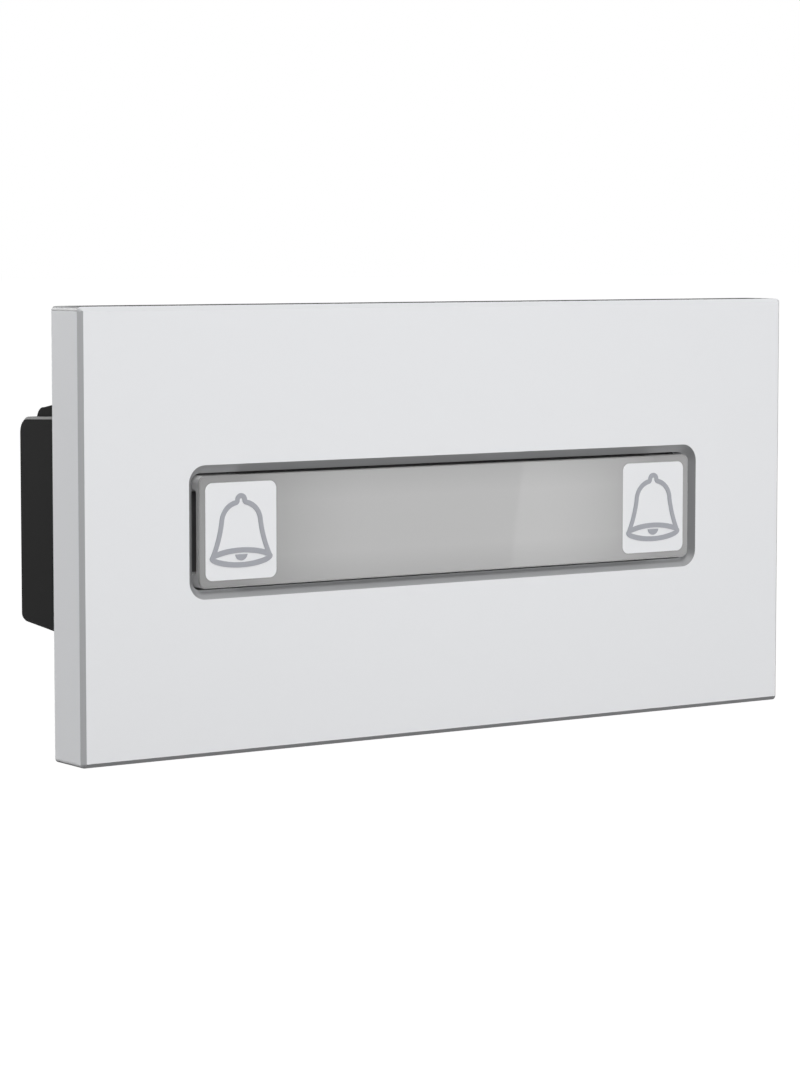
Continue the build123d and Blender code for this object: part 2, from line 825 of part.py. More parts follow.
os.makedirs("parts", exist_ok=True)
pieces = [
    front_plate,
    window_seal,
    key_lens,
    bell_pad_left,
    bell_pad_right,
    bell_symbol_left,
    bell_symbol_right,
    name_card,
    light_diffuser,
    key_carrier,
    guide_frame,
    return_spring_left,
    return_spring_right,
    circuit_board,
    switch_body_left,
    switch_body_right,
    switch_plunger_left,
    switch_plunger_right,
    backlight_left,
    backlight_middle,
    backlight_right,
    controller_chip,
    driver_chip,
    filter_capacitor,
    bus_socket_in,
    bus_socket_out,
    socket_pins_in,
    socket_pins_out,
    board_screws,
    housing,
    mounting_gasket,
]
for piece in pieces:
    export_step(piece.part, "parts/" + piece.part.label + ".step")
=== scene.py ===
import logging
import math
from dataclasses import dataclass
from enum import Enum
from functools import reduce
from typing import Callable

import bpy
import numpy as np
from mathutils import Euler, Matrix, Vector


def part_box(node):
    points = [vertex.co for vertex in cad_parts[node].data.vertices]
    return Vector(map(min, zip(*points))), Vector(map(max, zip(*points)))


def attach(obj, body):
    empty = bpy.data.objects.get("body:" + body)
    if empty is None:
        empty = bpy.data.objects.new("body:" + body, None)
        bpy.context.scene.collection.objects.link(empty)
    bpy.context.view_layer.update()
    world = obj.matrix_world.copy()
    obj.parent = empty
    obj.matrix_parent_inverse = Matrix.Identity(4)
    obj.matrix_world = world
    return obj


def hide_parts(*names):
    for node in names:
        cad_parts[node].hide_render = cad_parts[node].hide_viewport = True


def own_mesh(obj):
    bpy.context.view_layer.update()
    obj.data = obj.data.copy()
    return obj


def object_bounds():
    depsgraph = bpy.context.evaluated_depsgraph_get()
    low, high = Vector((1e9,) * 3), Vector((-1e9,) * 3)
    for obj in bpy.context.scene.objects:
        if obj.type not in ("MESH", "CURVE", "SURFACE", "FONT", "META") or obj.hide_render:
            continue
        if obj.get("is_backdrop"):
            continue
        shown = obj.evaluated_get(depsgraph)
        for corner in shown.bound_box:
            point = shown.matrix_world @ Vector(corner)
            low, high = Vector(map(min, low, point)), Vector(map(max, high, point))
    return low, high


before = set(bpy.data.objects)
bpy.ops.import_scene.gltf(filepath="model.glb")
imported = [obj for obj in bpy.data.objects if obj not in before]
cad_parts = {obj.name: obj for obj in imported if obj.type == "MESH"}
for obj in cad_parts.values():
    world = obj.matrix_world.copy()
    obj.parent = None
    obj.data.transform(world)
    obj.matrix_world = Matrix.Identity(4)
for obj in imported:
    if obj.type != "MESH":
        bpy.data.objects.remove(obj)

LOG = logging.getLogger("call_module")

Socket = bpy.types.NodeSocket
Colour = tuple[float, float, float, float]
Point = tuple[float, float, float]
Span = tuple[float, float]
Number = float | Socket
Tint = Colour | Socket

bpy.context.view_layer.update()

MM = 0.001
CENTRE: Point = (0.0, 0.0, 0.0)

# Where the bevel masks fade, by the parts of the surface's direction
BEVEL_PART = math.cos(math.radians(45))
EDGE_FADE: Span = (0.05, 0.2)
CREST_FADE: Span = (0.05, 0.25)
FRONT_FADE: Span = (-0.95, -0.8)
TOP_FADE: Span = (0.85, 0.95)

# The grain's two noises: how many finer layers each has, their middle level, and how far the gloss swings
FINE_DETAIL = 3.0
DRIFT_DETAIL = 1.0
NOISE_MIDDLE = 0.5
GLOSS_SWING = 0.12

NUMBER = "NodeSocketFloat"
EDGE_MASKS = ("Edge", "Left", "Right", "Down", "Up", "Crest", "Front", "Top")


def grey(level: float) -> Colour:
    """Return the grey of one level."""
    return (level, level, level, 1.0)


class Axis(Enum):
    """The three directions of the object's frame, by their place in a vector."""

    ACROSS = 0
    DEPTH = 1
    UP = 2


class Blend(Enum):
    """The two kinds of mix node: Blender's name, the inputs for the share and both values, and the output."""

    COLOURS = ("RGBA", (0, 6, 7), 2)
    NUMBERS = ("FLOAT", (0, 2, 3), 0)


class Nodes:
    """A shader node tree, with short ways to add nodes to it."""

    def __init__(self, tree: bpy.types.NodeTree) -> None:
        """Take a tree and put the object's own coordinates at hand.

        Args:
            tree: the node tree of a material, a group or the world.
        """
        self.tree = tree
        self.place = self.add("ShaderNodeTexCoord").outputs["Object"]

    def add(self, kind: str, **settings: object) -> bpy.types.Node:
        """Add a node and give it its settings.

        Args:
            kind: Blender's name of the node type.
            settings: values for the node's own properties.

        Returns:
            The new node.
        """
        node = self.tree.nodes.new(kind)
        for key, value in settings.items():
            setattr(node, key, value)
        return node

    def feed(self, value: Number | Tint, socket: Socket) -> None:
        """Link a value to an input where it is a socket, and set it there where it is a constant.

        Args:
            value: the constant or the socket.
            socket: the input.
        """
        if isinstance(value, Socket):
            self.tree.links.new(value, socket)
        else:
            socket.default_value = value

    def give(self, node: bpy.types.Node, **values: Number | Tint | Point) -> None:
        """Feed a node's inputs by their names.

        Args:
            node: the node.
            values: constants or sockets, by the input's name in small letters with underscores for spaces.
        """
        for key, value in values.items():
            self.feed(value, node.inputs[key.replace("_", " ").title().replace("Ior", "IOR")])

    def group(self, tree: bpy.types.NodeTree, **values: float) -> bpy.types.Node:
        """Place a shared node group with its own values.

        Args:
            tree: the group.
            values: constants for the group's inputs, named as in give.

        Returns:
            The group node.
        """
        node = self.add("ShaderNodeGroup", node_tree=tree)
        self.give(node, **values)
        return node

    def math(self, operation: str, *operands: Number) -> Socket:
        """Add a math node.

        Args:
            operation: Blender's name of the operation.
            operands: one or two constants or sockets.

        Returns:
            The result.
        """
        node = self.add("ShaderNodeMath", operation=operation)
        for socket, operand in zip(node.inputs, operands):
            self.feed(operand, socket)
        return node.outputs[0]

    def chain(self, operation: str, *values: Number) -> Socket:
        """Join two or more values by one operation, from the first to the last."""
        return reduce(lambda left, right: self.math(operation, left, right), values)

    def product(self, *factors: Number) -> Socket:
        """Multiply two or more constants or sockets."""
        return self.chain("MULTIPLY", *factors)

    def total(self, *parts: Number) -> Socket:
        """Add two or more constants or sockets."""
        return self.chain("ADD", *parts)

    def rest(self, mask: Socket) -> Socket:
        """Return what a mask leaves, 1 less the mask."""
        return self.math("SUBTRACT", 1.0, mask)

    def fade(self, mask: Socket, share: float) -> Socket:
        """Return a tone that is 1 off the mask and the share on it."""
        return self.rest(self.product(mask, 1 - share))

    def mix(
        self,
        share: Number,
        first: Number | Tint,
        second: Number | Tint,
        kind: Blend = Blend.COLOURS,
        way: str = "MIX",
    ) -> Socket:
        """Blend two colours or two numbers, each a constant or a socket.

        Args:
            share: 0 gives the first and 1 the second.
            first: the value at 0.
            second: the value at 1.
            kind: whether they are colours or numbers.
            way: Blender's name of the way that colours are blended.

        Returns:
            The blended value.
        """
        data_type, places, result = kind.value
        node = self.add("ShaderNodeMix", data_type=data_type, blend_type=way)
        for place, value in zip(places, (share, first, second)):
            self.feed(value, node.inputs[place])
        return node.outputs[result]

    def times(self, colour: Tint, tone: Socket) -> Socket:
        """Multiply a colour, a constant or a socket, by a tone."""
        return self.mix(1.0, colour, tone, way="MULTIPLY")

    def ramp(self, value: Socket, low: float, high: float, start: float, end: float) -> Socket:
        """Map a value from low..high to start..end, held at both ends.

        Args:
            value: the value.
            low: where its range starts.
            high: where its range ends.
            start: the result at low.
            end: the result at high.

        Returns:
            The mapped value.
        """
        node = self.add("ShaderNodeMapRange")
        for socket, number in zip(node.inputs, (value, low, high, start, end)):
            self.feed(number, socket)
        return node.outputs[0]

    def split(self, vector: Socket) -> tuple[Socket, ...]:
        """Take a vector apart.

        Args:
            vector: the vector.

        Returns:
            Its parts across, in depth and up.
        """
        node = self.add("ShaderNodeSeparateXYZ")
        self.feed(vector, node.inputs[0])
        return tuple(node.outputs)

    def along(self, axis: Axis) -> Socket:
        """Return the place of the shaded point along one axis of the object, in metres."""
        return self.split(self.place)[axis.value]

    def off_centre(self, axis: Axis) -> Socket:
        """Return how far the shaded point is from the object's origin along one axis, in metres."""
        return self.math("ABSOLUTE", self.along(axis))

    def inside(self, axis: Axis, low: float, high: float) -> Socket:
        """Mask a slice of the object.

        Args:
            axis: the axis that the slice is measured along.
            low: where it starts, in millimetres.
            high: where it ends, in millimetres.

        Returns:
            The mask, 1 in the slice and 0 elsewhere.
        """
        place = self.along(axis)
        above = self.math("GREATER_THAN", place, low * MM)
        return self.product(above, self.math("LESS_THAN", place, high * MM))

    def patch(self, half_width: float, half_height: float) -> Socket:
        """Return 1 in a rectangle of millimetres round the origin, seen from the front, and 0 outside."""
        across = self.inside(Axis.ACROSS, -half_width, half_width)
        return self.product(across, self.inside(Axis.UP, -half_height, half_height))

    def noise(self, scale: Number, detail: float = 2.0) -> Socket:
        """Add a noise.

        Args:
            scale: how many grains it has to a metre.
            detail: how many finer layers it has.

        Returns:
            The noise, from 0 to 1.
        """
        node = self.add("ShaderNodeTexNoise")
        self.give(node, vector=self.place, scale=scale, detail=detail)
        return node.outputs[0]

    def seen(self) -> Socket:
        """Tell the rays that show a surface from those that only light it.

        Returns:
            The mask, 1 for a ray from the camera, off gloss or through glass, and 0 for any other.
        """
        path = self.add("ShaderNodeLightPath").outputs
        kinds = ("Camera", "Glossy", "Transmission")
        return self.chain("MAXIMUM", *(path[f"Is {kind} Ray"] for kind in kinds))


class Sheet(Nodes):
    """One material under construction, with its shader and its output at hand."""

    def __init__(self, name: str) -> None:
        """Start an empty material with a Principled shader.

        Args:
            name: the material's name.
        """
        self.material = bpy.data.materials.new(name)
        self.material.use_nodes = True
        super().__init__(self.material.node_tree)
        self.shader = self.tree.nodes["Principled BSDF"]
        self.output = self.tree.nodes["Material Output"]

    def set(self, **values: Number | Tint) -> None:
        """Feed the shader's own inputs, named as in give."""
        self.give(self.shader, **values)

    def bump(self, height: Socket, strength: float, depth: float) -> None:
        """Feed the shader's Normal with a bump.

        Args:
            height: the height over the surface, from 0 to 1.
            strength: how much of the bump shows.
            depth: the height at 1, in millimetres.
        """
        node = self.add("ShaderNodeBump")
        self.give(node, height=height, strength=strength, distance=depth * MM)
        self.set(normal=node.outputs[0])


class GroupSheet(Nodes):
    """A node group under construction, with its inputs and its result at hand."""

    def __init__(self, tree: bpy.types.NodeTree) -> None:
        """Take an empty group and give it its ends.

        Args:
            tree: the group, with its sockets already declared.
        """
        super().__init__(tree)
        self.given = self.add("NodeGroupInput").outputs
        self.result = self.add("NodeGroupOutput")


def effect_group(
    name: str, inputs: dict[str, float], outputs: tuple[str, ...], build: Callable[[GroupSheet], None]
) -> bpy.types.NodeTree:
    """Make a shader node group that several finishes share, with numbers in and out.

    Args:
        name: the group's name.
        inputs: each input's name, with its usual value.
        outputs: each output's name.
        build: fills the group through its sheet.

    Returns:
        The group.
    """
    tree = bpy.data.node_groups.new(name, "ShaderNodeTree")
    for label, usual in inputs.items():
        tree.interface.new_socket(label, in_out="INPUT", socket_type=NUMBER).default_value = usual
    for label in outputs:
        tree.interface.new_socket(label, in_out="OUTPUT", socket_type=NUMBER)
    build(GroupSheet(tree))
    return tree


def build_grain(sheet: GroupSheet) -> None:
    """Fill the grain group: a fine noise for height, specks and gloss, and a slow drift of the tone.

    Args:
        sheet: the group under construction.
    """
    given = sheet.given
    fine = sheet.noise(given["Grain Scale"], FINE_DETAIL)
    speck = sheet.math("SUBTRACT", fine, NOISE_MIDDLE)
    swing = sheet.math("SUBTRACT", sheet.noise(given["Drift Scale"], DRIFT_DETAIL), NOISE_MIDDLE)
    tone = sheet.total(sheet.product(swing, given["Drift"]), sheet.product(speck, given["Speckle"]), 1.0)
    roughness = sheet.total(given["Roughness"], sheet.product(speck, GLOSS_SWING))
    sheet.give(sheet.result, tone=tone, height=fine, roughness=roughness)


def build_edge(sheet: GroupSheet) -> None:
    """Fill the edge group with masks of 45 degree bevels, worked out from the surface's own direction.

    Edge is 1 where the surface leans 45 degrees off the front. Left, Right, Down and Up share that 1 by the
    way the bevel looks: each is twice the square of the direction's part along it. Crest is 1 where the
    surface leans 45 degrees between an end and the top, and Front and Top are 1 on what faces forward and
    up.

    Args:
        sheet: the group under construction.
    """
    across, depth, up = sheet.split(sheet.add("ShaderNodeTexCoord").outputs["Normal"])
    lean = sheet.math("ABSOLUTE", sheet.math("SUBTRACT", sheet.math("ABSOLUTE", depth), BEVEL_PART))
    side = sheet.math("ABSOLUTE", sheet.math("SUBTRACT", sheet.math("ABSOLUTE", across), BEVEL_PART))
    rise = sheet.math("ABSOLUTE", sheet.math("SUBTRACT", up, BEVEL_PART))
    edge = sheet.ramp(lean, *EDGE_FADE, 1.0, 0.0)
    ways = {"Left": (across, -1.0), "Right": (across, 1.0), "Down": (up, -1.0), "Up": (up, 1.0)}
    for way, (part, sign) in ways.items():
        toward = sheet.math("MAXIMUM", sheet.product(part, sign), 0.0)
        share = sheet.product(sheet.math("POWER", toward, 2.0), 2.0)
        sheet.feed(sheet.product(edge, share), sheet.result.inputs[way])
    sheet.give(
        sheet.result,
        edge=edge,
        crest=sheet.ramp(sheet.math("MAXIMUM", side, rise), *CREST_FADE, 1.0, 0.0),
        front=sheet.ramp(depth, *FRONT_FADE, 1.0, 0.0),
        top=sheet.ramp(up, *TOP_FADE, 0.0, 1.0),
    )


@dataclass(frozen=True)
class Effects:
    """The node groups that the finishes share."""

    grain: bpy.types.NodeTree
    edge: bpy.types.NodeTree

    @classmethod
    def build(cls) -> "Effects":
        """Make both groups.

        Returns:
            The groups.
        """
        usual = {"Grain Scale": 9000.0, "Drift Scale": 18.0}
        usual |= {"Drift": 0.02, "Speckle": 0.02, "Roughness": 0.45}
        return cls(
            effect_group("moulded grain", usual, ("Tone", "Height", "Roughness"), build_grain),
            effect_group("bevel masks", {}, EDGE_MASKS, build_edge),
        )


@dataclass(frozen=True)
class Moulded:
    """Moulded plastic: a colour with a fine grain and a slow drift of tone."""

    name: str
    colour: Colour
    roughness: float
    grain_scale: float = 9000.0
    bump: float = 0.05
    speckle: float = 0.02
    drift: float = 0.02
    specular: float = 0.5
    grain_depth: float = 0.02

    def toned(self, sheet: Sheet, effects: Effects, colour: Socket) -> Socket:
        """Return the colour as it is; finishes with painted shade or highlights on their edges work it over
        here.

        Args:
            sheet: the material under construction; not used here.
            effects: the shared node groups; not used here.
            colour: the colour with its grain.

        Returns:
            The colour for the shader.
        """
        return colour

    def build(self, effects: Effects) -> bpy.types.Material:
        """Make the material.

        Args:
            effects: the shared node groups.

        Returns:
            The material, ready to assign.
        """
        sheet = Sheet(self.name)
        grain = sheet.group(
            effects.grain,
            grain_scale=self.grain_scale,
            drift=self.drift,
            speckle=self.speckle,
            roughness=self.roughness,
        ).outputs
        colour = self.toned(sheet, effects, sheet.times(self.colour, grain["Tone"]))
        sheet.set(base_color=colour, roughness=grain["Roughness"], specular_ior_level=self.specular)
        sheet.bump(grain["Height"], self.bump, self.grain_depth)
        return sheet.material


@dataclass(frozen=True)
class PaintedBevelShade:
    """Painted shade on a bevel: how much of the plain tone it keeps, by the way it looks."""

    left: float
    right: float
    down: float
    up: float

    def share(self, sheet: Sheet, masks: bpy.types.Node) -> Socket:
        """Add up the four tones, each by its own mask.

        Args:
            sheet: the material under construction.
            masks: the bevel masks.

        Returns:
            The share of the plain tone, which only counts on bevels.
        """
        tones = {"Left": self.left, "Right": self.right, "Down": self.down, "Up": self.up}
        return sheet.total(*(sheet.product(masks.outputs[way], tone) for way, tone in tones.items()))


@dataclass(frozen=True)
class Lacquer(Moulded):
    """Lacquered plastic with painted shade on its bevels, round the rim and round the window."""

    # Painted shade: the share of the plain tone that each bevel keeps, round the rim and round the window.
    rim: PaintedBevelShade = PaintedBevelShade(left=0.6, right=0.4, down=0.5, up=0.95)
    window: PaintedBevelShade = PaintedBevelShade(left=0.3, right=0.3, down=0.46, up=0.43)
    window_reach: Span = (45.0, 20.0)
    # Painted light: the bevel under the window grows lighter toward its foot, between these depths in
    # millimetres.
    foot_start: float = -5.55
    foot_end: float = -5.2
    painted_foot_light: float = 1.8
    # Painted shade along the lower edge: the flat faces below this height, in millimetres under the middle,
    # keep this share of their tone.
    under_edge: float = 24.95
    painted_under_shade: float = 0.55
    # Painted shade on the rounded upper corners: beyond this far across and this high, in millimetres, the
    # flat faces keep this share of their tone.
    corner: Span = (49.5, 24.7)
    painted_corner_shade: float = 0.3
    # Painted shade on what faces up: it keeps this share of its tone.
    painted_top_shade: float = 0.85
    gloss: float = 0.05

    def toned(self, sheet: Sheet, effects: Effects, colour: Socket) -> Socket:
        """Paint shade on the bevels, along the lower edge, on the upper corners and on the top.

        The bevel under the window has painted light at its foot. What faces up gets a glossy skin too, which
        shows at a glancing look along the top.

        Args:
            sheet: the material under construction.
            effects: the shared node groups.
            colour: the colour with its grain.

        Returns:
            The colour for the shader.
        """
        masks = sheet.group(effects.edge)
        flat = sheet.rest(masks.outputs["Edge"])
        within = sheet.patch(*self.window_reach)
        depth = sheet.along(Axis.DEPTH)
        # Painted light at the foot of the bevel that faces up.
        foot = sheet.ramp(depth, self.foot_start * MM, self.foot_end * MM, 0.0, self.painted_foot_light - 1)
        lift = sheet.total(1.0, sheet.product(foot, masks.outputs["Up"]))
        # Painted shade on the window's bevels, with painted light toward the foot of the one that faces up,
        # and on the rim's.
        window = sheet.product(self.window.share(sheet, masks), lift, within)
        rim = sheet.product(self.rim.share(sheet, masks), sheet.rest(within))
        # Painted shade along the lower edge.
        under = sheet.product(sheet.math("LESS_THAN", sheet.along(Axis.UP), -self.under_edge * MM), flat)
        # Painted shade on the upper corners.
        far, high = self.corner
        corner = sheet.product(
            sheet.math("GREATER_THAN", sheet.off_centre(Axis.ACROSS), far * MM),
            sheet.math("GREATER_THAN", sheet.along(Axis.UP), high * MM),
            flat,
        )
        # Painted shade on what faces up, but for the upper corners.
        top = sheet.product(masks.outputs["Top"], sheet.rest(corner))
        tone = sheet.product(
            sheet.total(flat, window, rim),
            sheet.fade(under, self.painted_under_shade),
            sheet.fade(corner, self.painted_corner_shade),
            sheet.fade(top, self.painted_top_shade),
        )
        sheet.set(coat_weight=top, coat_roughness=self.gloss)
        return sheet.times(colour, tone)


@dataclass(frozen=True)
class PaintedCrestHighlightPlastic(Moulded):
    """Black moulded plastic with a painted highlight: paler along the bevelled edges between its ends and its
    top.
    """

    # Painted highlight: the grey of the crests.
    crest: float = 0.26

    def toned(self, sheet: Sheet, effects: Effects, colour: Socket) -> Socket:
        """Paint a highlight on the crests: lift them to a grey.

        Args:
            sheet: the material under construction.
            effects: the shared node groups.
            colour: the colour with its grain.

        Returns:
            The colour for the shader.
        """
        # Painted highlight on the crests.
        return sheet.mix(sheet.group(effects.edge).outputs["Crest"], colour, grey(self.crest))


@dataclass(frozen=True)
class SmokedPlastic:
    """Cloudy clear plastic under a glossy skin, with painted shade toward the ends and the long edges."""

    name: str
    colour: Colour
    clearness: float = 0.3
    cloud: float = 0.5
    refraction: float = 1.49
    specular: float = 0.2
    skin: float = 1.0
    skin_roughness: float = 0.004
    skin_refraction: float = 1.5
    grain_scale: float = 4000.0
    speckle: float = 0.01
    drift: float = 0.01
    # Painted shade: the cap's face darkens toward its ends, and the whole cap toward its long edges.
    end_start: float = 11.0
    end_stop: float = 30.0
    end_shade: float = 0.30
    edge_start: float = 3.0
    edge_stop: float = 6.3
    edge_shade: float = 0.8
    # Painted highlight: the grey of the bevel that faces down, along the lower edge.
    painted_lip_highlight: float = 0.95
    # Painted light: the grey of the walls beyond the pads.
    painted_end_wall_light: float = 1.0
    joint_place: float = 29.56
    joint_half: Span = (4.68, 5.47)
    joint_radius: float = 0.87
    joint_width: float = 0.22
    joint_shade: float = 0.8

    def joint(self, sheet: Sheet) -> Socket:
        """Return the tone of the fine joint round the pads.

        With q as how far a point is beyond the straight parts of a pad's outline, across and up, its distance
        from the rounded outline is the length of q's positive part, less the corner radius. The tone rises
        from the joint's shade at the outline to 1 at its width.

        Args:
            sheet: the material under construction.

        Returns:
            The tone.
        """
        across = sheet.math("SUBTRACT", sheet.off_centre(Axis.ACROSS), self.joint_place * MM)
        squares = []
        for place, half in zip((across, sheet.along(Axis.UP)), self.joint_half):
            straight = (half - self.joint_radius) * MM
            beyond = sheet.math("SUBTRACT", sheet.math("ABSOLUTE", place), straight)
            squares.append(sheet.math("POWER", sheet.math("MAXIMUM", beyond, 0.0), 2.0))
        reach = sheet.math("SQRT", sheet.total(*squares))
        start = self.joint_radius * MM
        return sheet.ramp(reach, start, start + self.joint_width * MM, self.joint_shade, 1.0)

    def shade(self, sheet: Sheet, front: Socket) -> Socket:
        """Return the painted shade over the cap: it falls toward the ends of the face and toward the long
        edges.

        The fall toward an end is the square of the way from its start to its stop.

        Args:
            sheet: the material under construction.
            front: the mask of what faces forward.

        Returns:
            The tone, with the joint round the pads.
        """
        across, up = sheet.off_centre(Axis.ACROSS), sheet.off_centre(Axis.UP)
        # Painted shade toward the ends of the face and toward the long edges.
        toward_end = sheet.ramp(across, self.end_start * MM, self.end_stop * MM, 0.0, 1.0)
        end = sheet.product(sheet.math("POWER", toward_end, 2.0), front)
        edge = sheet.ramp(up, self.edge_start * MM, self.edge_stop * MM, 1.0, self.edge_shade)
        return sheet.product(sheet.fade(end, self.end_shade), edge, self.joint(sheet))

    def build(self, effects: Effects) -> bpy.types.Material:
        """Make the material.

        Args:
            effects: the shared node groups.

        Returns:
            The material, ready to assign.
        """
        sheet = Sheet(self.name)
        grain = sheet.group(
            effects.grain,
            grain_scale=self.grain_scale,
            roughness=self.cloud,
            speckle=self.speckle,
            drift=self.drift,
        ).outputs
        masks = sheet.group(effects.edge).outputs
        tone = sheet.product(self.shade(sheet, masks["Front"]), grain["Tone"])
        # Painted highlight on the bevel that faces down.
        body = sheet.mix(masks["Down"], sheet.times(self.colour, tone), grey(self.painted_lip_highlight))
        # Painted light on the walls beyond the pads that neither face forward nor lean as a bevel.
        beyond = sheet.math("GREATER_THAN", sheet.off_centre(Axis.ACROSS), self.joint_place * MM)
        wall = sheet.product(beyond, sheet.rest(masks["Front"]), sheet.rest(masks["Edge"]))
        sheet.set(
            base_color=sheet.mix(wall, body, grey(self.painted_end_wall_light)),
            roughness=grain["Roughness"],
            metallic=0.0,
            ior=self.refraction,
            transmission_weight=self.clearness,
            specular_ior_level=self.specular,
            coat_weight=self.skin,
            coat_roughness=self.skin_roughness,
            coat_ior=self.skin_refraction,
        )
        return sheet.material


@dataclass(frozen=True)
class Metal:
    """Rolled, drawn or turned metal: fine streaks along one axis in its tone and gloss."""

    name: str
    colour: Colour
    roughness: float
    streaks: Axis
    streak_scale: float = 6000.0
    stretch: float = 0.03
    dark_share: float = 0.85
    streak_span: Span = (0.3, 0.7)
    gloss_span: Span = (0.8, 1.3)
    bump: float = 0.08
    streak_depth: float = 0.01

    def build(self, effects: Effects) -> bpy.types.Material:
        """Make the material.

        Args:
            effects: the shared node groups; not used here.

        Returns:
            The material, ready to assign.
        """
        sheet = Sheet(self.name)
        turn = sheet.add("ShaderNodeMapping")
        sizes = [1.0, 1.0, 1.0]
        sizes[self.streaks.value] = self.stretch
        sheet.give(turn, vector=sheet.place, scale=sizes)
        sheet.place = turn.outputs[0]
        streaks = sheet.noise(self.streak_scale)
        dark = tuple(part * self.dark_share for part in self.colour[:3]) + (1.0,)
        smooth, rough = (self.roughness * share for share in self.gloss_span)
        sheet.set(
            base_color=sheet.mix(streaks, dark, self.colour),
            roughness=sheet.ramp(streaks, *self.streak_span, smooth, rough),
            metallic=1.0,
        )
        sheet.bump(streaks, self.bump, self.streak_depth)
        return sheet.material


@dataclass(frozen=True)
class TwoPart:
    """A small component whose one solid has two finishes, told apart by its place along one axis."""

    name: str
    body: Colour
    other: Colour
    axis: Axis
    low: float
    high: float
    body_roughness: float = 0.5
    other_roughness: float = 0.3
    other_metallic: float = 0.0
    grain_scale: float = 12000.0
    speckle: float = 0.05
    bump: float = 0.1
    grain_depth: float = 0.02

    def build(self, effects: Effects) -> bpy.types.Material:
        """Make the material: the body's finish between low and high millimetres, the other one outside.

        Args:
            effects: the shared node groups.

        Returns:
            The material, ready to assign.
        """
        sheet = Sheet(self.name)
        grain = sheet.group(
            effects.grain, grain_scale=self.grain_scale, roughness=self.body_roughness, speckle=self.speckle
        ).outputs
        mask = sheet.inside(self.axis, self.low, self.high)
        sheet.set(
            base_color=sheet.times(sheet.mix(mask, self.other, self.body), grain["Tone"]),
            roughness=sheet.mix(mask, self.other_roughness, grain["Roughness"], Blend.NUMBERS),
            metallic=sheet.ramp(mask, 0.0, 1.0, self.other_metallic, 0.0),
        )
        sheet.bump(grain["Height"], self.bump, self.grain_depth)
        return sheet.material


@dataclass(frozen=True)
class Laminate:
    """Circuit board: green resist over a faint net of copper tracks, with bare fibre at its edges."""

    name: str
    resist: Colour
    copper: Colour
    fibre: Colour
    half_width: float
    half_height: float
    roughness: float = 0.32
    grain_scale: float = 5000.0
    speckle: float = 0.04
    drift: float = 0.05
    track_pitch: float = 2.54
    rows: int = 4
    row_shift: float = 0.5
    track_width: float = 0.04
    copper_share: float = 0.35
    bump: float = 0.2
    track_depth: float = 0.03

    def build(self, effects: Effects) -> bpy.types.Material:
        """Make the material; the net has rows of one pitch, with cells as long as four of them.

        Args:
            effects: the shared node groups.

        Returns:
            The material, ready to assign.
        """
        sheet = Sheet(self.name)
        grain = sheet.group(
            effects.grain,
            grain_scale=self.grain_scale,
            roughness=self.roughness,
            speckle=self.speckle,
            drift=self.drift,
        ).outputs
        turn = sheet.add("ShaderNodeMapping")
        sheet.give(turn, vector=sheet.place, rotation=(math.pi / 2, 0.0, 0.0))
        cells = sheet.add("ShaderNodeTexBrick", offset=self.row_shift)
        sheet.give(
            cells,
            vector=turn.outputs[0],
            scale=1 / (self.track_pitch * self.rows * MM),
            mortar_size=self.track_width,
            brick_width=1.0,
            row_height=1 / self.rows,
        )
        tracks = sheet.mix(sheet.product(cells.outputs["Fac"], self.copper_share), self.resist, self.copper)
        board = sheet.mix(sheet.patch(self.half_width, self.half_height), self.fibre, tracks)
        sheet.set(base_color=sheet.times(board, grain["Tone"]), roughness=grain["Roughness"])
        sheet.bump(cells.outputs["Fac"], self.bump, self.track_depth)
        return sheet.material


Finish = Moulded | SmokedPlastic | Metal | TwoPart | Laminate


def paint(finish: Finish, effects: Effects, *names: str) -> None:
    """Give CAD nodes one finish.

    Args:
        finish: the finish.
        effects: the shared node groups.
        names: the nodes.
    """
    material = finish.build(effects)
    for name in names:
        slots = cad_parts[name].data.materials
        slots.clear()
        slots.append(material)
        LOG.info("%s is dressed in %s", name, finish.name)


def put(name: str, data: bpy.types.ID) -> bpy.types.Object:
    """Put a new object in the scene.

    Args:
        name: its name.
        data: its mesh, light or camera.

    Returns:
        The object.
    """
    made = bpy.data.objects.new(name, data)
    bpy.context.scene.collection.objects.link(made)
    return made


@dataclass
class CoverPlate:
    """The pale cover with the window that the key stands in."""

    finish: Lacquer = Lacquer(
        "cover lacquer", (0.815, 0.825, 0.845, 1.0), 0.34, grain_scale=11000.0, speckle=0.012, drift=0.008
    )
    foam: Moulded = Moulded("seal foam", grey(0.05), 0.85, grain_scale=3500.0, bump=0.6, speckle=0.3)

    def dress(self, effects: Effects) -> None:
        """Dress the cover and the seal behind it.

        Args:
            effects: the shared node groups.
        """
        paint(self.finish, effects, "front_plate")
        paint(self.foam, effects, "window_seal")


@dataclass
class CallKey:
    """The long clear key with its pads, printed bells, card, diffuser and carrier."""

    cap: SmokedPlastic = SmokedPlastic("key cap", grey(0.43))
    pad: Moulded = Moulded("pad white", (0.81, 0.82, 0.84, 1.0), 0.3, bump=0.02, speckle=0.01, drift=0.01)
    ink: Moulded = Moulded("bell print", (0.365, 0.375, 0.415, 1.0), 0.45, bump=0.05, speckle=0.04)
    card: Moulded = Moulded("card film", grey(0.62), 0.6, grain_scale=6000.0, bump=0.02, speckle=0.02)
    milk: Moulded = Moulded("diffuser milk", (0.86, 0.86, 0.83, 1.0), 0.5)
    tray: Moulded = Moulded("carrier grey", grey(0.10), 0.5, bump=0.1, speckle=0.05)

    def dress(self, effects: Effects) -> None:
        """Dress every piece of the key.

        Args:
            effects: the shared node groups.
        """
        paint(self.cap, effects, "key_lens")
        paint(self.pad, effects, "bell_pad_left", "bell_pad_right")
        paint(self.ink, effects, "bell_symbol_left", "bell_symbol_right")
        paint(self.card, effects, "name_card")
        paint(self.milk, effects, "light_diffuser")
        paint(self.tray, effects, "key_carrier")


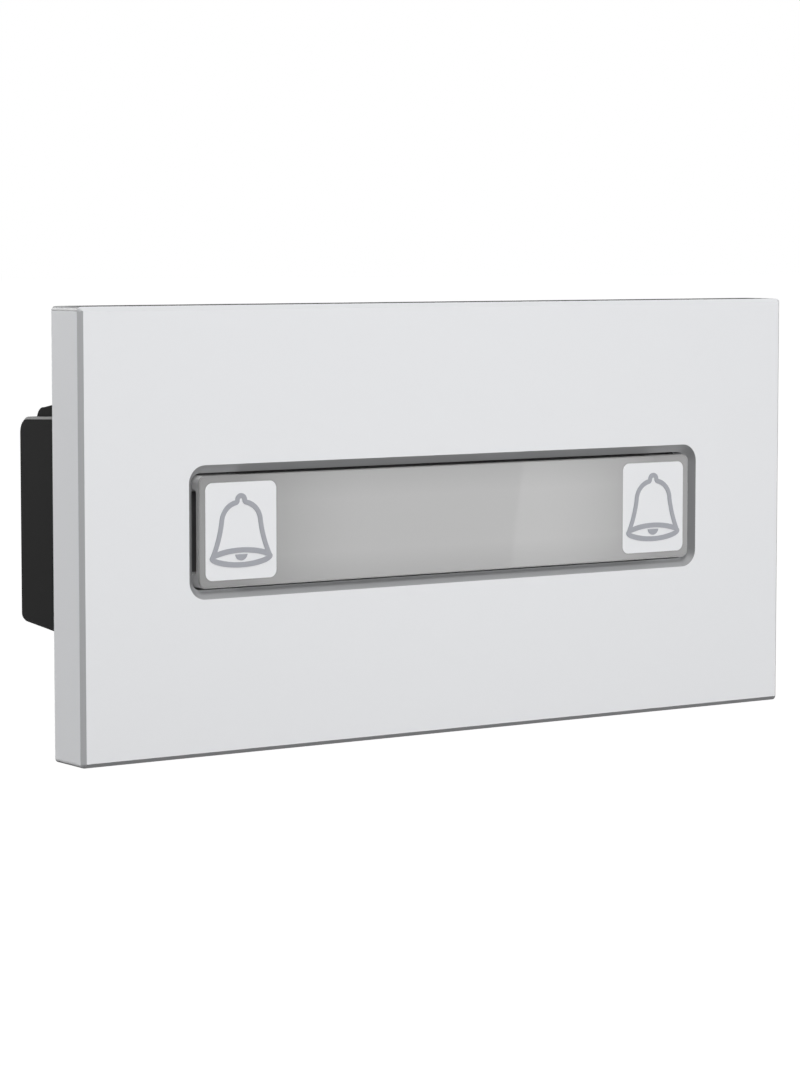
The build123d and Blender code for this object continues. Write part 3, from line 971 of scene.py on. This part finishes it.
@dataclass
class ReturnSprings:
    """The two bowed strips between the guide frame and the key, which flatten as the key goes in."""

    width: float = 4.0
    thickness: float = 0.2
    roundness: float = 0.2
    along: int = 49
    round_steps: int = 16
    travel: float = 0.8
    metal: Metal = Metal("spring strip", (0.62, 0.61, 0.58, 1.0), 0.28, Axis.UP)

    def strip(self, low: Point, high: Point) -> tuple[np.ndarray, list[tuple[int, ...]]]:
        """Work out one strip's closed surface.

        A section, a thin rectangle with rounded short sides, is carried along a circular bow, the circle
        through both feet and the crown. At an angle a along the bow and a turn t round the section, the
        point is half the width times cos t across, with cos t raised to the roundness and its sign kept. It
        lies on a circle whose radius is the bow's, less half the thickness times 1 - sin t: that radius
        times cos a in front of the bow's centre, and times sin a up.

        Args:
            low: the lowest corner of the strip's box, in metres.
            high: the highest corner.

        Returns:
            The vertices and the faces.
        """
        centre = (low[0] + high[0]) / 2
        half_span, rise = (high[2] - low[2]) / 2, high[1] - low[1]
        radius = (half_span**2 + rise**2) / (2 * rise)
        half_angle = math.asin(half_span / radius)
        angle = np.linspace(-half_angle, half_angle, self.along)
        turn = np.linspace(0, 2 * math.pi, self.round_steps, endpoint=False)
        side = np.sign(np.cos(turn)) * np.abs(np.cos(turn)) ** self.roundness * self.width / 2 * MM
        out = np.sin(turn) * self.thickness / 2 * MM
        reach = radius - self.thickness / 2 * MM + out[None, :]
        depth = low[1] + radius - reach * np.cos(angle)[:, None]
        up = reach * np.sin(angle)[:, None]
        across = np.broadcast_to(centre + side[None, :], depth.shape)
        vertices = np.stack([across, depth, up], axis=-1).reshape(-1, 3)
        ring = np.arange(self.round_steps)
        step = np.roll(ring, -1)
        near = np.arange(self.along - 1)[:, None] * self.round_steps
        far = near + self.round_steps
        quads = np.stack([near + ring, near + step, far + step, far + ring], axis=-1)
        faces = [tuple(face) for face in quads.reshape(-1, 4).tolist()]
        last = (self.along - 1) * self.round_steps
        faces.append(tuple(reversed(ring.tolist())))
        faces.append(tuple((last + ring).tolist()))
        return vertices, faces

    def build(self, effects: Effects) -> None:
        """Make both strips and seat them on their solids.

        Args:
            effects: the shared node groups.
        """
        material = self.metal.build(effects)
        for side in ("left", "right"):
            node = f"return_spring_{side}"
            low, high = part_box(node)
            vertices, faces = self.strip(low, high)
            mesh = bpy.data.meshes.new(f"{node}_strip")
            mesh.from_pydata(vertices.tolist(), [], faces)
            mesh.shade_smooth()
            mesh.materials.append(material)
            piece = put(f"{node}_strip", mesh)
            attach(piece, "module")
            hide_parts(node)
            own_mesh(piece)
            LOG.info("%s: %d faces", piece.name, len(mesh.polygons))


@dataclass
class Electronics:
    """The board with what is soldered to it, and the guide frame and screws that hold it."""

    board: Laminate = Laminate(
        "board laminate",
        resist=(0.02, 0.16, 0.07, 1.0),
        copper=(0.10, 0.30, 0.12, 1.0),
        fibre=(0.42, 0.40, 0.22, 1.0),
        half_width=42.75,
        half_height=9.95,
    )
    switch: Moulded = Moulded("switch case", grey(0.035), 0.45, bump=0.1)
    plunger: Moulded = Moulded("plunger red", (0.42, 0.03, 0.02, 1.0), 0.35, bump=0.05)
    lamp: TwoPart = TwoPart(
        "lamp body",
        body=(0.80, 0.79, 0.72, 1.0),
        other=(0.80, 0.66, 0.18, 1.0),
        axis=Axis.UP,
        low=-9.0,
        high=9.0,
        body_roughness=0.4,
        other_roughness=0.25,
    )
    chip: TwoPart = TwoPart(
        "chip package",
        body=grey(0.025),
        other=(0.66, 0.66, 0.64, 1.0),
        axis=Axis.UP,
        low=-3.75,
        high=3.75,
        other_metallic=1.0,
    )
    driver: TwoPart = TwoPart(
        "driver package",
        body=grey(0.03),
        other=(0.66, 0.66, 0.64, 1.0),
        axis=Axis.UP,
        low=-2.0,
        high=2.0,
        other_metallic=1.0,
    )
    can: TwoPart = TwoPart(
        "capacitor can",
        body=grey(0.03),
        other=(0.72, 0.73, 0.74, 1.0),
        axis=Axis.DEPTH,
        low=5.0,
        high=6.4,
        other_roughness=0.25,
        other_metallic=1.0,
    )
    socket: Moulded = Moulded("socket natural", (0.74, 0.70, 0.58, 1.0), 0.45, bump=0.08, drift=0.04)
    pins: Metal = Metal("gilded pins", (0.83, 0.64, 0.30, 1.0), 0.22, Axis.DEPTH)
    screws: Metal = Metal(
        "plated screws", (0.60, 0.61, 0.62, 1.0), 0.3, Axis.DEPTH, streak_scale=9000.0, stretch=1.0
    )
    guide: Moulded = Moulded("guide frame black", grey(0.022), 0.5, bump=0.15, speckle=0.08)

    def dress(self, effects: Effects) -> None:
        """Dress every piece of the group.

        Args:
            effects: the shared node groups.
        """
        paint(self.board, effects, "circuit_board")
        paint(self.switch, effects, "switch_body_left", "switch_body_right")
        paint(self.plunger, effects, "switch_plunger_left", "switch_plunger_right")
        paint(self.lamp, effects, "backlight_left", "backlight_middle", "backlight_right")
        paint(self.chip, effects, "controller_chip")
        paint(self.driver, effects, "driver_chip")
        paint(self.can, effects, "filter_capacitor")
        paint(self.socket, effects, "bus_socket_in", "bus_socket_out")
        paint(self.pins, effects, "socket_pins_in", "socket_pins_out")
        paint(self.screws, effects, "board_screws")
        paint(self.guide, effects, "guide_frame")


@dataclass
class Tub:
    """The black tub behind the cover, and the gasket round it."""

    shell: PaintedCrestHighlightPlastic = PaintedCrestHighlightPlastic(
        "tub black", grey(0.02), 0.5, grain_scale=4200.0, bump=0.3, speckle=0.12, drift=0.05, specular=0.02
    )
    foam: Moulded = Moulded("gasket foam", grey(0.045), 0.85, grain_scale=3500.0, bump=0.6, speckle=0.3)

    def dress(self, effects: Effects) -> None:
        """Dress the tub and its gasket.

        Args:
            effects: the shared node groups.
        """
        paint(self.shell, effects, "housing")
        paint(self.foam, effects, "mounting_gasket")


@dataclass(frozen=True)
class SoftLight:
    """One rectangular soft light, by its place and aim in millimetres."""

    name: str
    place: Point
    aim: Point
    width: float
    height: float
    power: float
    lean: float = 0.0

    def build(self) -> None:
        """Make the light, turned to its aim and leant about its own axis."""
        lamp = bpy.data.lights.new(self.name, "AREA")
        lamp.shape = "RECTANGLE"
        lamp.size, lamp.size_y = self.width * MM, self.height * MM
        lamp.energy = self.power
        light = put(self.name, lamp)
        light.location = Vector(self.place) * MM
        heading = (Vector(self.aim) - Vector(self.place)).to_track_quat("-Z", "Y")
        light.rotation_euler = heading.to_euler()
        light.rotation_euler.rotate_axis("Z", math.radians(self.lean))
        LOG.info("light %s: %.2f W", self.name, self.power)


@dataclass
class Studio:
    """Pale floor, white surroundings, soft lights and the camera at the photograph's viewing angle."""

    fill: float = 0.05
    floor_drop: float = 300.0
    floor_size: float = 60.0
    floor_paint: Span = (0.34, 0.36)
    floor_grain: float = 3.0
    floor_roughness: float = 0.9
    near: float = 0.6
    far: float = 1.6
    lift_near: float = 0.92
    lift_far: float = 1.0
    cloth_paint: Span = (0.004, 0.008)
    cloth_grain: float = 40.0
    flag_place: Point = (501.0, 49.0, 0.0)
    flag_span: Point = (-700.0, -330.0, 450.0)
    flag_levels: Point = (-150.0, 25.6, 285.0)
    flag_pale: Span = (-466.0, -458.0)
    flag_glow: float = 0.95
    tray_drop: float = 150.0
    tray_span: tuple[float, float, float, float] = (-600.0, 450.0, -450.0, 300.0)
    camera_place: Point = (-228.82, -325.25, 31.84)
    camera_tilt: float = 85.106
    camera_turn: float = -34.70
    lens: float = 113.67
    sensor: float = 36.0
    clip: Span = (0.01, 100.0)
    lights: tuple[SoftLight, ...] = (
        SoftLight("main_light", (-90.0, -350.0, 375.0), CENTRE, 340.0, 270.0, 1.65),
        SoftLight("left_light", (-760.0, 220.0, 470.0), CENTRE, 500.0, 400.0, 3.36),
        SoftLight("back_light", (-250.0, 850.0, 300.0), CENTRE, 500.0, 400.0, 3.6),
        SoftLight("right_light", (720.0, 300.0, 380.0), CENTRE, 500.0, 400.0, 3.4),
        SoftLight("panel_light", (430.0, -800.0, -75.0), (430.0, 0.0, -75.0), 640.0, 420.0, 3.1),
        SoftLight("strip_light", (745.0, -790.0, -75.0), (745.0, 0.0, -75.0), 300.0, 420.0, 0.30, lean=-8.0),
    )

    def surroundings(self) -> None:
        """Light all round at the fill's strength, seen as white by the camera, gloss and glass."""
        world = bpy.data.worlds.new("studio")
        bpy.context.scene.world = world
        world.use_nodes = True
        nodes = Nodes(world.node_tree)
        strength = nodes.ramp(nodes.seen(), 0.0, 1.0, self.fill, 1.0)
        nodes.give(world.node_tree.nodes["Background"], color=grey(1.0), strength=strength)

    def floor(self) -> None:
        """Lay a plain pale floor that keeps the object's shadow and joins the white surroundings."""
        half = self.floor_size / 2
        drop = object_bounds()[0].z - self.floor_drop * MM
        mesh = bpy.data.meshes.new("floor")
        corners = [(-half, -half, drop), (half, -half, drop), (half, half, drop), (-half, half, drop)]
        mesh.from_pydata(corners, [], [(0, 1, 2, 3)])
        plane = put("floor", mesh)
        plane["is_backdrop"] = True
        sheet = Sheet("floor paint")
        tone = sheet.mix(sheet.noise(self.floor_grain), *map(grey, self.floor_paint))
        sheet.set(base_color=tone, roughness=self.floor_roughness, specular_ior_level=0.0)
        distance = sheet.add("ShaderNodeVectorMath", operation="LENGTH")
        sheet.feed(sheet.place, distance.inputs[0])
        level = sheet.ramp(distance.outputs["Value"], self.near, self.far, self.lift_near, self.lift_far)
        lift = sheet.add("ShaderNodeEmission")
        sheet.give(lift, strength=sheet.product(sheet.seen(), level))
        both = sheet.add("ShaderNodeAddShader")
        sheet.feed(sheet.shader.outputs[0], both.inputs[0])
        sheet.feed(lift.outputs[0], both.inputs[1])
        sheet.give(sheet.output, surface=both.outputs[0])
        mesh.materials.append(sheet.material)

    def card(
        self, name: str, corners: list[Point], faces: list[tuple[int, ...]]
    ) -> tuple[bpy.types.Object, Sheet]:
        """Make a dark studio card that only gloss sees.

        Args:
            name: the card's name.
            corners: its corners in metres.
            faces: its faces.

        Returns:
            The card and its cloth, still open to change.
        """
        mesh = bpy.data.meshes.new(name)
        mesh.from_pydata(corners, [], faces)
        card = put(name, mesh)
        card.visible_camera = card.visible_diffuse = card.visible_shadow = card.visible_transmission = False
        card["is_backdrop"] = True
        sheet = Sheet(f"{name} cloth")
        tone = sheet.mix(sheet.noise(self.cloth_grain), *map(grey, self.cloth_paint))
        sheet.set(base_color=tone, roughness=1.0, specular_ior_level=0.0)
        mesh.materials.append(sheet.material)
        return card, sheet

    def flag(self) -> None:
        """Hang a dark card behind the right end, so that the upper and right edge read dark.

        The card is an L lying on its back: the whole span above the middle level, and only the right part
        below it. Its left part glows, which the left end of the upper edge reflects.
        """
        left, step, right = (place * MM for place in self.flag_span)
        low, middle, high = (level * MM for level in self.flag_levels)
        corners = [(left, 0.0, middle), (step, 0.0, middle), (step, 0.0, low), (right, 0.0, low)]
        corners += [(right, 0.0, middle), (right, 0.0, high), (left, 0.0, high)]
        card, sheet = self.card("flag", corners, [(0, 1, 4, 5, 6), (1, 2, 3, 4)])
        card.location = Vector(self.flag_place) * MM
        card.rotation_euler = Euler((0.0, 0.0, math.radians(self.camera_turn)))
        pale, dark = self.flag_pale
        glow = sheet.ramp(sheet.along(Axis.ACROSS), pale * MM, dark * MM, self.flag_glow, 0.0)
        sheet.set(emission_color=glow, emission_strength=1.0)

    def tray(self) -> None:
        """Lay a dark card under the object, so that what faces down reflects less of the pale floor."""
        left, right, front, back = (place * MM for place in self.tray_span)
        level = -self.tray_drop * MM
        corners = [(left, front, level), (right, front, level), (right, back, level), (left, back, level)]
        self.card("tray", corners, [(0, 1, 2, 3)])

    def camera(self) -> None:
        """Set up the camera where the photograph was taken from."""
        data = bpy.data.cameras.new("camera")
        data.lens, data.sensor_width = self.lens, self.sensor
        data.clip_start, data.clip_end = self.clip
        camera = put("camera", data)
        camera.location = Vector(self.camera_place) * MM
        camera.rotation_euler = Euler((math.radians(self.camera_tilt), 0.0, math.radians(self.camera_turn)))
        bpy.context.scene.camera = camera

    def build(self) -> None:
        """Build the whole studio."""
        bpy.context.scene.view_settings.view_transform = "Standard"
        self.surroundings()
        self.floor()
        self.flag()
        self.tray()
        for light in self.lights:
            light.build()
        self.camera()


def main() -> None:
    """Dress every piece, add the springs, and set up the studio."""
    logging.basicConfig(level=logging.INFO, format="%(name)s: %(message)s")
    effects = Effects.build()
    CoverPlate().dress(effects)
    CallKey().dress(effects)
    ReturnSprings().build(effects)
    Electronics().dress(effects)
    Tub().dress(effects)
    Studio().build()


if __name__ == "__main__":
    main()
